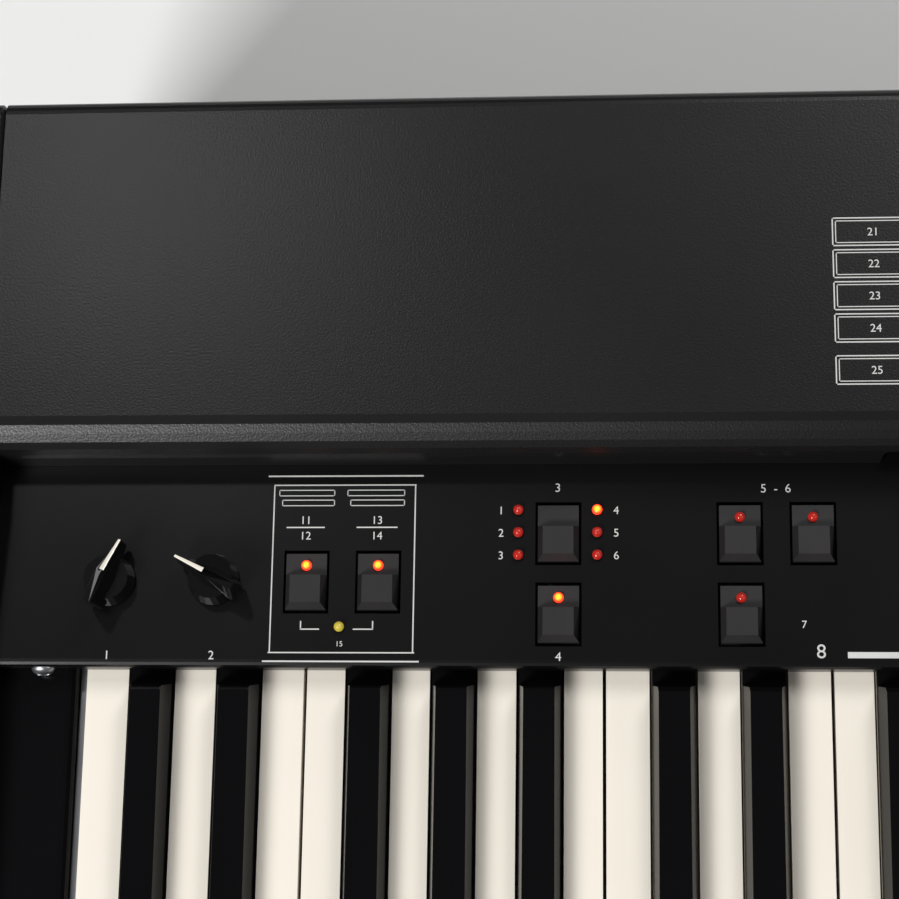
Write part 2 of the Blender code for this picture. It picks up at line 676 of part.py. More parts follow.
def make_manuals():
    key_frame("upper_key_frame", UPPER_LIP_Y, UPPER_TOP_Z, FREE_NATURALS)
    key_frame("lower_key_frame", LOWER_LIP_Y, LOWER_TOP_Z, 0)
    key_set("upper_key_set", UPPER_LIP_Y, UPPER_TOP_Z, FREE_NATURALS, FREE_SHARPS)
    key_set("lower_key_set", LOWER_LIP_Y, LOWER_TOP_Z, 0, 0)
    for index in range(FREE_NATURALS):
        free_natural(index, UPPER_LIP_Y, UPPER_TOP_Z)
    for number, centre in enumerate(sharp_centres()[:FREE_SHARPS], start=1):
        free_sharp(number, centre, UPPER_LIP_Y, UPPER_TOP_Z)


def make_cheeks():
    """Side panels that follow the deck, the upper manual and the lower manual."""
    upper_edge = UPPER_TOP_Z + 12 * MM
    lower_edge = LOWER_TOP_Z + 9 * MM
    upper_front = UPPER_LIP_Y - NATURAL_LENGTH
    outline = rounded([
        (FRONT_Y, BASE_Z, 5 * MM), (REAR_Y, BASE_Z, 4 * MM), (REAR_Y, DECK_Z, DECK_REAR_RADIUS),
        (FASCIA_Y - 8 * MM, DECK_Z, 30 * MM), (UPPER_LIP_Y - 5 * MM, upper_edge + 3 * MM, 40 * MM),
        (upper_front + 2 * MM, upper_edge, 18 * MM),
        (upper_front - 28 * MM, lower_edge + 3 * MM, 25 * MM),
        (FRONT_Y, lower_edge, 12 * MM)], steps=5)
    for name, side in (("left_cheek", -1), ("right_cheek", 1)):
        low, high = sorted((side * INNER_HALF, side * CASE_HALF))
        cheek = prism(outline, "X", low, high)
        as_part(cheek, name, BLACK_PAINT, (side * INNER_HALF, 0, BASE_Z))
        soften(cheek, 1.5 * MM, segments=1, degrees=50)


def make_base():
    base = box((-INNER_HALF + GAP, INNER_HALF - GAP),
               (FRONT_Y + SLIP_THICKNESS + GAP, REAR_PANEL_Y - REAR_SHEET - GAP),
               (BASE_Z, FLOOR_Z))
    as_part(base, "base_board", FIBREBOARD, (0, 0, BASE_Z))
    for x_name, x in (("left", -INNER_HALF + FOOT_INSET), ("right", INNER_HALF - FOOT_INSET)):
        for y_name, y in (("front", FRONT_Y + FOOT_INSET), ("rear", REAR_Y - FOOT_INSET)):
            foot = cylinder("Z", (x, y), 0, FOOT_HEIGHT, FOOT_RADIUS * 0.9, FOOT_RADIUS, 24)
            as_part(foot, f"{y_name}_{x_name}_foot", RUBBER, (x, y, 0))
            soften(foot, 1 * MM, segments=1, degrees=60)


def end_block_outline(lip_y, top_z, shelf_z, rear):
    """Side outline of the filler between keys and cheek; its rear carries what is above."""
    top = top_z + BLOCK_RISE
    front = lip_y - NATURAL_LENGTH
    bottom = top_z - FRAME_DEPTH
    outline = [(front, bottom, 0), (front, top, BLOCK_NOSE_RADIUS),
               (lip_y + PANEL_LIP_RADIUS + MM, top, 0)]
    if shelf_z > top:
        outline.append((lip_y + PANEL_LIP_RADIUS + MM, shelf_z, 0))
    return rounded(outline + [(rear, max(top, shelf_z), 0), (rear, bottom, 0)], steps=4)


def round_inner_edge(item, x, above):
    """Round the long upper edge of an end block that faces the keys."""
    weights = item.data.attributes.new("bevel_weight_edge", "FLOAT", "EDGE")
    for edge in item.data.edges:
        ends = [item.data.vertices[index].co + item.location for index in edge.vertices]
        if all(abs(end.x - x) < MM / 10 and end.z > above for end in ends):
            weights.data[edge.index].value = 1.0
    step = item.modifiers.new("inner edge", "BEVEL")
    step.limit_method = "WEIGHT"
    step.width = BLOCK_EDGE_RADIUS
    step.segments = 3


def make_surrounds():
    """End blocks and slips around the two manuals."""
    shelf = PANEL_Z - PANEL_SHEET - GAP
    upper = end_block_outline(UPPER_LIP_Y, UPPER_TOP_Z, shelf, FASCIA_Y)
    for name, side in (("upper_left_block", -1), ("upper_right_block", 1)):
        inner, outer = side * BLOCK_HALF, side * (INNER_HALF - GAP)
        low, high = sorted((inner, outer))
        block = as_part(prism(upper, "X", low, high), name, BLACK_GLOSS,
                        (inner, UPPER_LIP_Y, UPPER_TOP_Z))
        round_inner_edge(block, inner, UPPER_TOP_Z - BLOCK_NOSE_RADIUS)

    frame_front = UPPER_LIP_Y - NATURAL_LENGTH + FRAME_FRONT_SETBACK
    slip_top = UPPER_TOP_Z - FRAME_WALL_TOP
    slip = prism(rounded([
        (frame_front - GAP, slip_top, 0), (frame_front - GAP, slip_top - UPPER_SLIP_HEIGHT / 1.4, 0),
        (frame_front - GAP - UPPER_SLIP_THICKNESS / 2, slip_top - UPPER_SLIP_HEIGHT / 1.4, 2 * MM),
        (frame_front - GAP - UPPER_SLIP_THICKNESS, slip_top - UPPER_SLIP_HEIGHT / 2, 3 * MM),
        (frame_front - GAP - UPPER_SLIP_THICKNESS, slip_top, 3 * MM)], steps=3),
        "X", -BLOCK_HALF + GAP, BLOCK_HALF - GAP)
    as_part(slip, "upper_key_slip", BLACK_PAINT, (0, frame_front, slip_top))

    slip_top = BASE_Z + SLIP_HEIGHT
    rail_rear = FRONT_Y + SLIP_THICKNESS
    rail = prism(rounded([(FRONT_Y, BASE_Z, 1 * MM), (rail_rear, BASE_Z, 0),
                          (rail_rear, slip_top, 2 * MM), (FRONT_Y, slip_top, 6 * MM)]),
                 "X", -INNER_HALF + GAP, INNER_HALF - GAP)
    lower = end_block_outline(LOWER_LIP_Y, LOWER_TOP_Z, 0, LOWER_LIP_Y + FRAME_REAR_TOP)
    lower = [(y if y > LOWER_LIP_Y - NATURAL_LENGTH + MM / 10 else rail_rear - MM, z)
             for y, z in lower]
    for side in (-1, 1):
        low, high = sorted((side * BLOCK_HALF, side * (INNER_HALF - GAP)))
        block = prism(lower, "X", low, high)
        round_inner_edge(block, side * BLOCK_HALF, LOWER_TOP_Z - BLOCK_NOSE_RADIUS)
        fuse(rail, block)
    as_part(rail, "lower_key_surround", BLACK_PAINT, (0, rail_rear, BASE_Z))


def on_panel(x, back):
    """Place on the control panel from the lowest key's edge and the panel's lip."""
    return KEYS_X + x, UPPER_LIP_Y + back


def panel_lamps():
    spots = [(x, y) for x in PANEL_LAMP_COLUMNS for y in PANEL_LAMP_ROWS]
    return [on_panel(x, y) for x, y in spots + [ROTOR_LAMP]]


def make_panel():
    """Bent steel panel with a rolled front lip and its cut-outs."""
    half = INNER_HALF - GAP
    path = rounded([(FASCIA_Y + PANEL_SHELF, PANEL_Z, 0), (UPPER_LIP_Y, PANEL_Z, PANEL_LIP_RADIUS),
                    (UPPER_LIP_Y, PANEL_Z - PANEL_LIP, 0)], closed=False)
    panel = sheet(path[::-1], PANEL_SHEET, -half, half)
    holes = []
    depth = (PANEL_Z - 2 * PANEL_SHEET, PANEL_Z + PANEL_SHEET)
    for x, back, lamp in BUTTONS.values():
        x, y = on_panel(x, back)
        width, length = BUTTON_HOLE
        holes.append(box((x - width / 2, x + width / 2), (y - length / 2, y + length / 2), depth))
    for x, y in panel_lamps():
        holes.append(cylinder("Z", (x, y), *depth, LAMP_HOLE_RADIUS, segments=12))
    for x, back, turn in KNOBS.values():
        holes.append(cylinder("Z", on_panel(x, back), *depth, KNOB_HOLE_RADIUS, segments=16))
    cut(panel, gather(holes))
    as_part(panel, "control_panel", PANEL_PAINT, (0, UPPER_LIP_Y, PANEL_Z))


def window_span(group):
    """Left and right end of a drawbar group's window."""
    first, count = DRAWBAR_GROUPS[group]
    left = KEYS_X + first - WINDOW_MARGIN
    return left, left + 2 * WINDOW_MARGIN + (count - 1) * DRAWBAR_PITCH


def make_deck():
    """Top cover bent from one sheet: fascia with windows, round nose, rear flange."""
    half = INNER_HALF - GAP
    path = rounded([(FASCIA_Y, PANEL_Z + GAP, 0), (FASCIA_Y, DECK_Z, DECK_NOSE_RADIUS),
                    (REAR_Y, DECK_Z, DECK_REAR_RADIUS), (REAR_Y, DECK_Z - DECK_REAR_FLANGE, 0)],
                   steps=6, closed=False)
    deck = sheet(path, DECK_SHEET, -half, half)
    windows = []
    for group in DRAWBAR_GROUPS:
        left, right = window_span(group)
        outline = rounded([(left, PANEL_Z - MM, 0), (right, PANEL_Z - MM, 0),
                           (right, PANEL_Z + WINDOW_HEIGHT, WINDOW_RADIUS),
                           (left, PANEL_Z + WINDOW_HEIGHT, WINDOW_RADIUS)], steps=3)
        windows.append(prism(outline, "Y", FASCIA_Y - DECK_NOSE_RADIUS,
                             FASCIA_Y + DECK_NOSE_RADIUS))
    cut(deck, gather(windows))
    as_part(deck, "deck", BLACK_PAINT, (0, FASCIA_Y, DECK_Z))


def button_solid(x, y, lamp):
    """Cap with a low lamp part, a raised finger part, a skirt and a stem."""
    width, length = BUTTON_CAP
    low, high = PANEL_Z + BUTTON_FLAT, PANEL_Z + BUTTON_PLATEAU
    outline = [(y + length / 2, PANEL_Z - BUTTON_SKIRT), (y + length / 2, low),
               (y + BUTTON_STEP_BACK, low), (y + BUTTON_STEP_BACK - 0.4 * MM, high),
               (y - length / 2 + BUTTON_SLOPE, high), (y - length / 2, low),
               (y - length / 2, PANEL_Z - BUTTON_SKIRT)]
    cap = prism(outline, "X", x - width / 2, x + width / 2)
    for vertex in cap.data.vertices:
        if vertex.co.z > low + MM / 10:
            vertex.co.x -= math.copysign(BUTTON_SLOPE * 0.8, vertex.co.x - x)
    bottom = PANEL_Z - BUTTON_SKIRT
    fuse(cap, cylinder("Z", (x, y), bottom - STEM_LENGTH, bottom + MM, STEM_RADIUS, segments=10))
    if lamp:
        fuse(cap, dome((x, y + LAMP_BACK, low), LAMP_RADIUS))
    return cap


def make_buttons():
    for name, (x, back, lamp) in BUTTONS.items():
        x, y = on_panel(x, back)
        as_part(button_solid(x, y, lamp), name, BUTTON_BLACK, (x, y, PANEL_Z))


def make_knobs():
    """Pointer knobs: a skirt, a wedge-shaped grip and a shaft."""
    low, top = PANEL_Z + MM, PANEL_Z + KNOB_HEIGHT
    for name, (x, back, turn) in KNOBS.items():
        x, y = on_panel(x, back)
        grip = prism(rounded([
            (-KNOB_TAIL_WIDTH / 2, -KNOB_TAIL, 1 * MM), (KNOB_TAIL_WIDTH / 2, -KNOB_TAIL, 1 * MM),
            (KNOB_WIDTH / 2, 0, 6 * MM), (KNOB_TIP_WIDTH / 2, KNOB_POINTER, 0.5 * MM),
            (-KNOB_TIP_WIDTH / 2, KNOB_POINTER, 0.5 * MM), (-KNOB_WIDTH / 2, 0, 6 * MM)], steps=3),
            "Z", low + KNOB_SKIRT / 2, top)
        for vertex in grip.data.vertices:
            if vertex.co.z > top - MM / 10:
                vertex.co.x *= 0.45
                vertex.co.z -= max(0.0, vertex.co.y) * 0.35
        fuse(grip, cylinder("Z", (0, 0), low, low + KNOB_SKIRT, KNOB_RADIUS, KNOB_TOP_RADIUS, 24))
        fuse(grip, cylinder("Z", (0, 0), low - KNOB_SHAFT_LENGTH, low + MM,
                            KNOB_SHAFT_RADIUS, segments=12))
        knob = as_part(grip, name, BLACK_GLOSS)
        knob_pose(knob, x, y, turn)


def knob_pose(knob, x, y, turn):
    """Turn a finished knob and its joined pieces to where its pointer stands."""
    pose = Matrix.Translation((x, y, 0)) @ Matrix.Rotation(math.radians(turn), 4, "Z")
    for step in knob.modifiers:
        step.object.data.transform(pose)
    knob.data.transform(pose)
    knob.data.transform(Matrix.Translation((-x, -y, -PANEL_Z)))
    knob.location = (x, y, PANEL_Z)


def drawbar_solid(x):
    """Drawbar pushed home: a flat bar with its finger cap in front of the fascia."""
    width, depth = CAP_SIZE
    rear = FASCIA_Y - 2 * GAP
    outline = rounded([(rear, PANEL_Z + CAP_FOOT, 0), (rear, PANEL_Z + CAP_RISE, 1.5 * MM),
                       (rear - depth * 0.7, PANEL_Z + CAP_RISE, 2.5 * MM),
                       (rear - depth, PANEL_Z + CAP_RISE / 2, 2 * MM),
                       (rear - depth * 0.9, PANEL_Z + CAP_FOOT, 0)], steps=3)
    cap = prism(outline, "X", x - width / 2, x + width / 2)
    for vertex in cap.data.vertices:
        rise = (vertex.co.z - PANEL_Z) / CAP_RISE
        vertex.co.x -= math.copysign(CAP_TAPER * rise, vertex.co.x - x)
    bar_width, bar_height = BAR_SIZE
    bar = box((x - bar_width / 2, x + bar_width / 2), (rear - depth / 2, rear + BAR_LENGTH),
              (PANEL_Z + BAR_RISE, PANEL_Z + BAR_RISE + bar_height))
    return fuse(cap, bar)


def drawbar_places(group):
    first, count = DRAWBAR_GROUPS[group]
    return [KEYS_X + first + index * DRAWBAR_PITCH for index in range(count)]


def make_drawbars():
    """Nine sliding drawbars, and the guide that holds them and the two joined groups."""
    colours = (BROWN, BROWN, WHITE, WHITE, BLACK_GLOSS, WHITE, BLACK_GLOSS, BLACK_GLOSS, WHITE)
    sliding = drawbar_places("upper")
    for number, (x, colour) in enumerate(zip(sliding, colours), start=1):
        as_part(drawbar_solid(x), f"drawbar_{number}", colour,
                (x, FASCIA_Y, PANEL_Z + BAR_RISE))
    front = FASCIA_Y + GUIDE_SETBACK
    rear = front + GUIDE_DEPTH
    left = sliding[0] - BAR_SIZE[0] / 2 - GUIDE_SIDE
    right = drawbar_places("lower")[-1] + BAR_SIZE[0] / 2 + GUIDE_SIDE
    bottom = PANEL_Z + GAP
    guide = box((left, right), (front, rear), (bottom, bottom + GUIDE_HEIGHT))
    slots = []
    for x in sliding:
        half = BAR_SIZE[0] / 2 + GAP
        slots.append(box((x - half, x + half), (front - MM, rear + MM),
                         (PANEL_Z + BAR_RISE - GAP, PANEL_Z + BAR_RISE + BAR_SIZE[1] + GAP)))
    cut(guide, gather(slots))
    for group in ("pedal", "lower"):
        fuse(guide, gather([baked(drawbar_solid(x)) for x in drawbar_places(group)]))
    as_part(guide, "drawbar_guide", BLACK_GLOSS, (0, front, bottom))


def make_panel_board():
    """Board under the panel with switch bodies, potentiometers, lamps and spacers."""
    top = BOARD_Z
    under = PANEL_Z - PANEL_SHEET
    left = KEYS_X + BOARD_MARGIN / 2 - KNOB_RADIUS
    right = KEYS_X + BUTTONS["percussion_third_button"][0] + 2 * BOARD_MARGIN
    y = (UPPER_LIP_Y + BOARD_MARGIN / 2, UPPER_LIP_Y + PANEL_LAMP_ROWS[0] + BOARD_MARGIN / 2)
    board = box((left, right), y, (top - BOARD_SHEET, top))
    additions, bores = [], []
    for x, back, lamp in BUTTONS.values():
        x, middle = on_panel(x, back)
        half = SWITCH_BODY / 2
        additions.append(box((x - half, x + half), (middle - half, middle + half),
                             (top - BOARD_SHEET / 2, top + SWITCH_HEIGHT)))
        bores.append(cylinder("Z", (x, middle), top - 2 * BOARD_SHEET, under,
                              STEM_RADIUS + GAP, segments=10))
    for x, back, turn in KNOBS.values():
        spot = on_panel(x, back)
        additions.append(cylinder("Z", spot, top - BOARD_SHEET / 2, top + POT_HEIGHT,
                                  POT_RADIUS, segments=16))
        bores.append(cylinder("Z", spot, top - 2 * BOARD_SHEET, under,
                              KNOB_SHAFT_RADIUS + GAP, segments=12))
    for spot in panel_lamps():
        shoulder = PANEL_Z + LAMP_STAND
        additions.append(cylinder("Z", spot, top - BOARD_SHEET / 2, shoulder, LAMP_RADIUS,
                                  segments=10))
    spacer_y = y[1] - SPACER_RADIUS - MM
    first, last = left + SPACER_RADIUS + MM, right - SPACER_RADIUS - MM
    for step in range(SPACERS):
        x = first + step * (last - first) / (SPACERS - 1)
        additions.append(cylinder("Z", (x, spacer_y), top - BOARD_SHEET / 2, under - GAP,
                                  SPACER_RADIUS, segments=8))
    fuse(board, gather(additions))
    fuse(board, gather([dome((*spot, PANEL_Z + LAMP_STAND), LAMP_RADIUS * 0.99)
                        for spot in panel_lamps()]))
    cut(board, gather(bores))
    as_part(board, "panel_board", BOARD_GREEN, (left, y[0], top))


def make_main_board():
    """Sound board on four posts, with its larger chips and plugs."""
    left, right, front, rear = MAIN_BOARD
    low = FLOOR_Z + GAP
    top = low + MAIN_BOARD_LIFT + BOARD_SHEET
    board = box((left, right), (front, rear), (top - BOARD_SHEET, top))
    additions = []
    for x in (left + 2 * SPACER_RADIUS, right - 2 * SPACER_RADIUS):
        for y in (front + 2 * SPACER_RADIUS, rear - 2 * SPACER_RADIUS):
            additions.append(cylinder("Z", (x, y), low, top - BOARD_SHEET / 2,
                                      SPACER_RADIUS, segments=8))
    width, depth = right - left, rear - front
    for u, v, size, height in ((0.3, 0.5, 28, 3), (0.52, 0.62, 20, 3), (0.52, 0.35, 14, 2.5),
                               (0.75, 0.8, 40, 9), (0.75, 0.25, 24, 12)):
        x, y, half = left + u * width, front + v * depth, size * MM / 2
        additions.append(box((x - half, x + half), (y - half / 2, y + half / 2),
                             (top - BOARD_SHEET / 2, top + height * MM)))
    fuse(board, gather(additions))
    as_part(board, "main_board", BOARD_GREEN, (left, front, low))


def make_supply():
    """Power supply in a folded metal box with vents."""
    left, right, front, rear = SUPPLY
    low = FLOOR_Z + GAP
    supply = box((left, right), (front, rear), (low, low + SUPPLY_HEIGHT))
    soften(supply, 2 * MM, segments=1)
    vents = []
    for step in range(7):
        x = left + (right - left) * (step + 1) / 8
        vents.append(box((x - 2 * MM, x + 2 * MM), (front + 20 * MM, rear - 20 * MM),
                         (low + SUPPLY_HEIGHT - 3 * MM, low + SUPPLY_HEIGHT + MM)))
    cut(supply, gather(vents))
    as_part(supply, "power_supply", STEEL, (left, front, low))


def make_rear():
    """Recessed rear panel with the mains inlet, its switch and the jack sockets."""
    outer = REAR_PANEL_Y
    half = INNER_HALF - GAP
    panel = box((-half, half), (outer - REAR_SHEET, outer),
                (BASE_Z, DECK_Z - DECK_REAR_RADIUS - GAP))
    body_x, body_z = INLET_BODY
    depth = (outer - 2 * REAR_SHEET, outer + REAR_SHEET)
    holes = [box((INLET_X - body_x / 2 - GAP, INLET_X + body_x / 2 + GAP), depth,
                 (INLET_Z - body_z / 2 - GAP, INLET_Z + body_z / 2 + GAP))]
    for index in range(JACKS):
        holes.append(cylinder("Y", (JACK_X + index * JACK_PITCH, JACK_Z), *depth,
                              JACK_NOSE_RADIUS + GAP, segments=16))
    cut(panel, gather(holes))
    as_part(panel, "rear_panel", BLACK_PAINT, (0, outer, BASE_Z))
    make_inlet(outer)
    make_jacks(outer)


def make_inlet(outer):
    """Inlet and switch housing in one moulding, and the rocker that tilts in it."""
    flange_x, flange_z = INLET_FLANGE
    body_x, body_z = INLET_BODY
    face = outer + GAP + INLET_FLANGE_THICKNESS
    module = box((INLET_X - flange_x / 2, INLET_X + flange_x / 2), (outer + GAP, face),
                 (INLET_Z - flange_z / 2, INLET_Z + flange_z / 2))
    soften(module, 0.6 * MM, segments=1)
    fuse(module, box((INLET_X - body_x / 2, INLET_X + body_x / 2),
                     (face - INLET_DEPTH, outer + GAP + MM),
                     (INLET_Z - body_z / 2, INLET_Z + body_z / 2)))
    x = INLET_X - SOCKET_OFFSET
    width, height = SOCKET_SIZE
    corner = 5 * MM
    recess = prism([(x - width / 2, INLET_Z - height / 2), (x + width / 2, INLET_Z - height / 2),
                    (x + width / 2, INLET_Z + height / 2 - corner),
                    (x + width / 2 - corner, INLET_Z + height / 2),
                    (x - width / 2 + corner, INLET_Z + height / 2),
                    (x - width / 2, INLET_Z + height / 2 - corner)],
                   "Y", face - SOCKET_DEPTH, face + MM)
    rocker_x = INLET_X + ROCKER_OFFSET
    rocker_width, rocker_height = ROCKER_SIZE
    well = box((rocker_x - rocker_width / 2 - GAP, rocker_x + rocker_width / 2 + GAP),
               (face - ROCKER_DEPTH, face + MM),
               (INLET_Z - rocker_height / 2 - MM, INLET_Z + rocker_height / 2 + MM))
    cut(module, gather([recess, well]))
    pins = []
    for u, v in ((-SOCKET_PIN_PITCH, -SOCKET_PIN_DROP), (SOCKET_PIN_PITCH, -SOCKET_PIN_DROP),
                 (0, 2 * SOCKET_PIN_DROP)):
        pins.append(box((x + u - SOCKET_PIN[0] / 2, x + u + SOCKET_PIN[0] / 2),
                        (face - SOCKET_DEPTH - MM, face - 2 * MM),
                        (INLET_Z + v - SOCKET_PIN[1] / 2, INLET_Z + v + SOCKET_PIN[1] / 2)))
    fuse(module, gather(pins))
    as_part(module, "mains_inlet", BLACK_GLOSS, (INLET_X, outer, INLET_Z))

    pivot_y = face - ROCKER_PIVOT_DEPTH
    half = rocker_height / 2
    dip = half * math.tan(math.radians(ROCKER_TILT))
    outline = [(pivot_y - MM, INLET_Z - 2 * MM), (pivot_y - MM, INLET_Z + 2 * MM),
               (face - 2 * MM + dip - 2 * MM, INLET_Z + half), (face - MM + dip, INLET_Z + half),
               (face - MM, INLET_Z), (face - MM - dip, INLET_Z - half),
               (face - 3 * MM - dip, INLET_Z - half)]
    rocker = prism(outline, "X", rocker_x - rocker_width / 2, rocker_x + rocker_width / 2)
    as_part(rocker, "power_rocker", BLACK_GLOSS, (rocker_x, pivot_y, INLET_Z))


def make_jacks(outer):
    """Upright board with a row of jack sockets whose noses pass the rear panel."""
    inner = outer - REAR_SHEET - GAP
    board_y = inner - JACK_BODY
    last = JACK_X + (JACKS - 1) * JACK_PITCH
    board = box((JACK_X - JACK_BODY, last + JACK_BODY), (board_y - BOARD_SHEET, board_y),
                (FLOOR_Z + GAP, JACK_Z + JACK_BODY / 2 + 2 * MM))
    additions, bores = [], []
    for index in range(JACKS):
        x = JACK_X + index * JACK_PITCH
        half = JACK_BODY / 2
        additions.append(box((x - half, x + half), (board_y - BOARD_SHEET / 2, inner),
                             (JACK_Z - half, JACK_Z + half)))
        bores.append(cylinder("Y", (x, JACK_Z), outer + JACK_NOSE_STAND - JACK_DEPTH,
                              outer + 2 * JACK_NOSE_STAND, JACK_BORE_RADIUS, segments=16))
    fuse(board, gather(additions))
    fuse(board, gather([cylinder("Y", (JACK_X + index * JACK_PITCH, JACK_Z), inner - MM,
                                 outer + JACK_NOSE_STAND, JACK_NOSE_RADIUS, segments=16)
                        for index in range(JACKS)]))
    cut(board, gather(bores))
    as_part(board, "jack_board", BOARD_GREEN, (JACK_X, board_y, FLOOR_Z))


def shade():
    """Smooth shading with sharp edges kept."""
    for item in PARTS.objects:
        item.data.shade_smooth()
        item.data.set_sharp_from_angle(angle=math.radians(30))


make_base()
make_cheeks()
make_manuals()
make_surrounds()
make_panel()
make_deck()
make_buttons()
make_knobs()
make_drawbars()
make_panel_board()
make_main_board()
make_supply()
make_rear()
shade()
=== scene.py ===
# Two-manual electronic organ: finishes, lamps, knob inlays, printed marks, camera and light
import json
import math

import bpy
import numpy as np
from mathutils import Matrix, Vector


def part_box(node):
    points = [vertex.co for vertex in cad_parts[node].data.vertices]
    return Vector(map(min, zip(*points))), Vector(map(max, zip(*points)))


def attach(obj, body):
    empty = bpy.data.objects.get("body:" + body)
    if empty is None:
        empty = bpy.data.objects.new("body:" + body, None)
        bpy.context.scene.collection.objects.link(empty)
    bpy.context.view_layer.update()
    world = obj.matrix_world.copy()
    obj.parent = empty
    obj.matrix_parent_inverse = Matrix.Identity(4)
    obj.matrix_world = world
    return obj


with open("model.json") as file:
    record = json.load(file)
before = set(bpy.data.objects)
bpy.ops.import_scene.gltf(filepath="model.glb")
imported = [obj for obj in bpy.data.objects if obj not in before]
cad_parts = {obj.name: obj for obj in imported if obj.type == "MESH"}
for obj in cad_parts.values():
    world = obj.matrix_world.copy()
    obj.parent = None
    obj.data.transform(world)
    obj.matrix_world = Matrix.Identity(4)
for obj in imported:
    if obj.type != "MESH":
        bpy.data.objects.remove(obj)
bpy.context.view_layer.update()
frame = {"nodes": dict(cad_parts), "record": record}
mm = 0.001

# Left side of the lowest key and front of the panel's lip, in the frame
place = {"keysLeft": -423 * mm, "lip": 49 * mm}
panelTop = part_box("control_panel")[1][2]
print("frame loaded, panel top at", round(panelTop, 4))


class Wire:
    # A socket that takes part in Python expressions
    def __init__(self, nodes, socket):
        self.nodes, self.socket = nodes, socket

    def math(self, kind, other):
        return self.nodes.make("Math", {"operation": kind}, {0: self, 1: other})

    def __radd__(self, other):
        return self.math("ADD", other)

    def __mul__(self, other):
        return self.math("MULTIPLY", other)


class Finish:
    # One material: its shader node and a short way to add others
    def __init__(self, name):
        self.material = bpy.data.materials.new(name)
        self.material.use_nodes = True
        self.tree = self.material.node_tree
        self.shader = self.tree.nodes["Principled BSDF"]

    def make(self, kind, settings, sockets, out=0):
        node = self.tree.nodes.new("ShaderNode" + kind)
        for name, value in settings.items():
            if name == "stops":
                for stop, (at, colour) in zip(node.color_ramp.elements, value):
                    stop.position, stop.color = at, (*colour, 1)
            else:
                setattr(node, name, value)
        for key, value in sockets.items():
            self.put(node.inputs[key], value)
        return Wire(self, node.outputs[out])

    def put(self, socket, value):
        if isinstance(value, Wire):
            self.tree.links.new(value.socket, socket)
        else:
            socket.default_value = value

    def set(self, **values):
        for name, value in values.items():
            if isinstance(value, tuple) and len(value) == 3:
                value = (*value, 1)
            self.put(self.shader.inputs[name.replace("_", " ")], value)
        return self

    def noise(self, scale, detail=3.0):
        spot = self.make("TexCoord", {}, {}, "Object")
        return self.make("TexNoise", {}, {"Vector": spot, "Scale": scale, "Detail": detail})

    def bump(self, height, strength, distance):
        return self.make("Bump", {}, {"Height": height, "Strength": strength, "Distance": distance})


def paint(name, look):
    # A colour that varies a little, with uneven gloss and a fine grain
    skin = Finish(name)
    cloud = skin.noise(look["cloud"], 4.0)
    grain = skin.noise(look["grain"], 2.0)
    dark = tuple(c * (1 - look["vary"]) for c in look["colour"])
    light = tuple(c * (1 + look["vary"]) for c in look["colour"])
    tint = skin.make("ValToRGB", {"stops": ((0.3, dark), (0.7, light))}, {"Fac": cloud})
    skin.set(Base_Color=tint, Roughness=look["rough"] + cloud * look["roughVary"],
             Metallic=look.get("metal", 0.0),
             Normal=skin.bump(grain, look["bump"], look["depth"]))
    skin.set(Coat_Weight=look.get("coat", 0.0), Coat_Roughness=0.05,
             Specular_IOR_Level=look.get("shine", 0.5))
    return skin.material


looks = {
    "case_paint": dict(colour=(0.0062, 0.0060, 0.0062), vary=0.1, cloud=9, grain=1500, rough=0.31,
                       roughVary=0.06, bump=0.3, depth=0.0002, shine=0.4),
    "panel_paint": dict(colour=(0.0028, 0.0027, 0.003), vary=0.1, cloud=14, grain=2600, rough=0.22,
                        roughVary=0.06, bump=0.05, depth=0.0001),
    "gloss_black": dict(colour=(0.004, 0.004, 0.0045), vary=0.1, cloud=20, grain=400, rough=0.12,
                        roughVary=0.06, bump=0.02, depth=0.0002, shine=0.06),
    "knob_black": dict(colour=(0.004, 0.004, 0.0045), vary=0.1, cloud=20, grain=400, rough=0.05,
                       roughVary=0.05, bump=0.02, depth=0.0002, coat=0.6),
    "button_plastic": dict(colour=(0.016, 0.0145, 0.0152), vary=0.08, cloud=60, grain=2600,
                           rough=0.42, roughVary=0.1, bump=0.15, depth=0.0001),
    "ivory": dict(colour=(0.90, 0.84, 0.74), vary=0.02, cloud=12, grain=300, rough=0.18,
                  roughVary=0.08, bump=0.02, depth=0.0002, coat=0.3),
    "brown_plastic": dict(colour=(0.10, 0.028, 0.012), vary=0.12, cloud=30, grain=500, rough=0.15,
                          roughVary=0.08, bump=0.03, depth=0.0001, coat=0.3),
    "white_plastic": dict(colour=(0.80, 0.78, 0.73), vary=0.03, cloud=30, grain=500, rough=0.2,
                          roughVary=0.08, bump=0.03, depth=0.0001, coat=0.2),
    "zinc_steel": dict(colour=(0.50, 0.51, 0.53), vary=0.12, cloud=60, grain=900, rough=0.32,
                       roughVary=0.15, bump=0.08, depth=0.0001, metal=1.0),
    "circuit_board": dict(colour=(0.015, 0.10, 0.04), vary=0.2, cloud=140, grain=900, rough=0.3,
                          roughVary=0.15, bump=0.1, depth=0.0001),
    "rubber": dict(colour=(0.02, 0.02, 0.02), vary=0.1, cloud=60, grain=900, rough=0.75,
                   roughVary=0.1, bump=0.3, depth=0.0002),
    "fibreboard": dict(colour=(0.035, 0.03, 0.026), vary=0.2, cloud=50, grain=700, rough=0.6,
                       roughVary=0.15, bump=0.3, depth=0.0002),
}
finishes = {name: paint(name, look) for name, look in looks.items()}

# A key set is one moulding in the frame: what stands above its naturals' tops is black
keySets = {"upper_key_set": 128.35 * mm, "lower_key_set": 62.35 * mm}


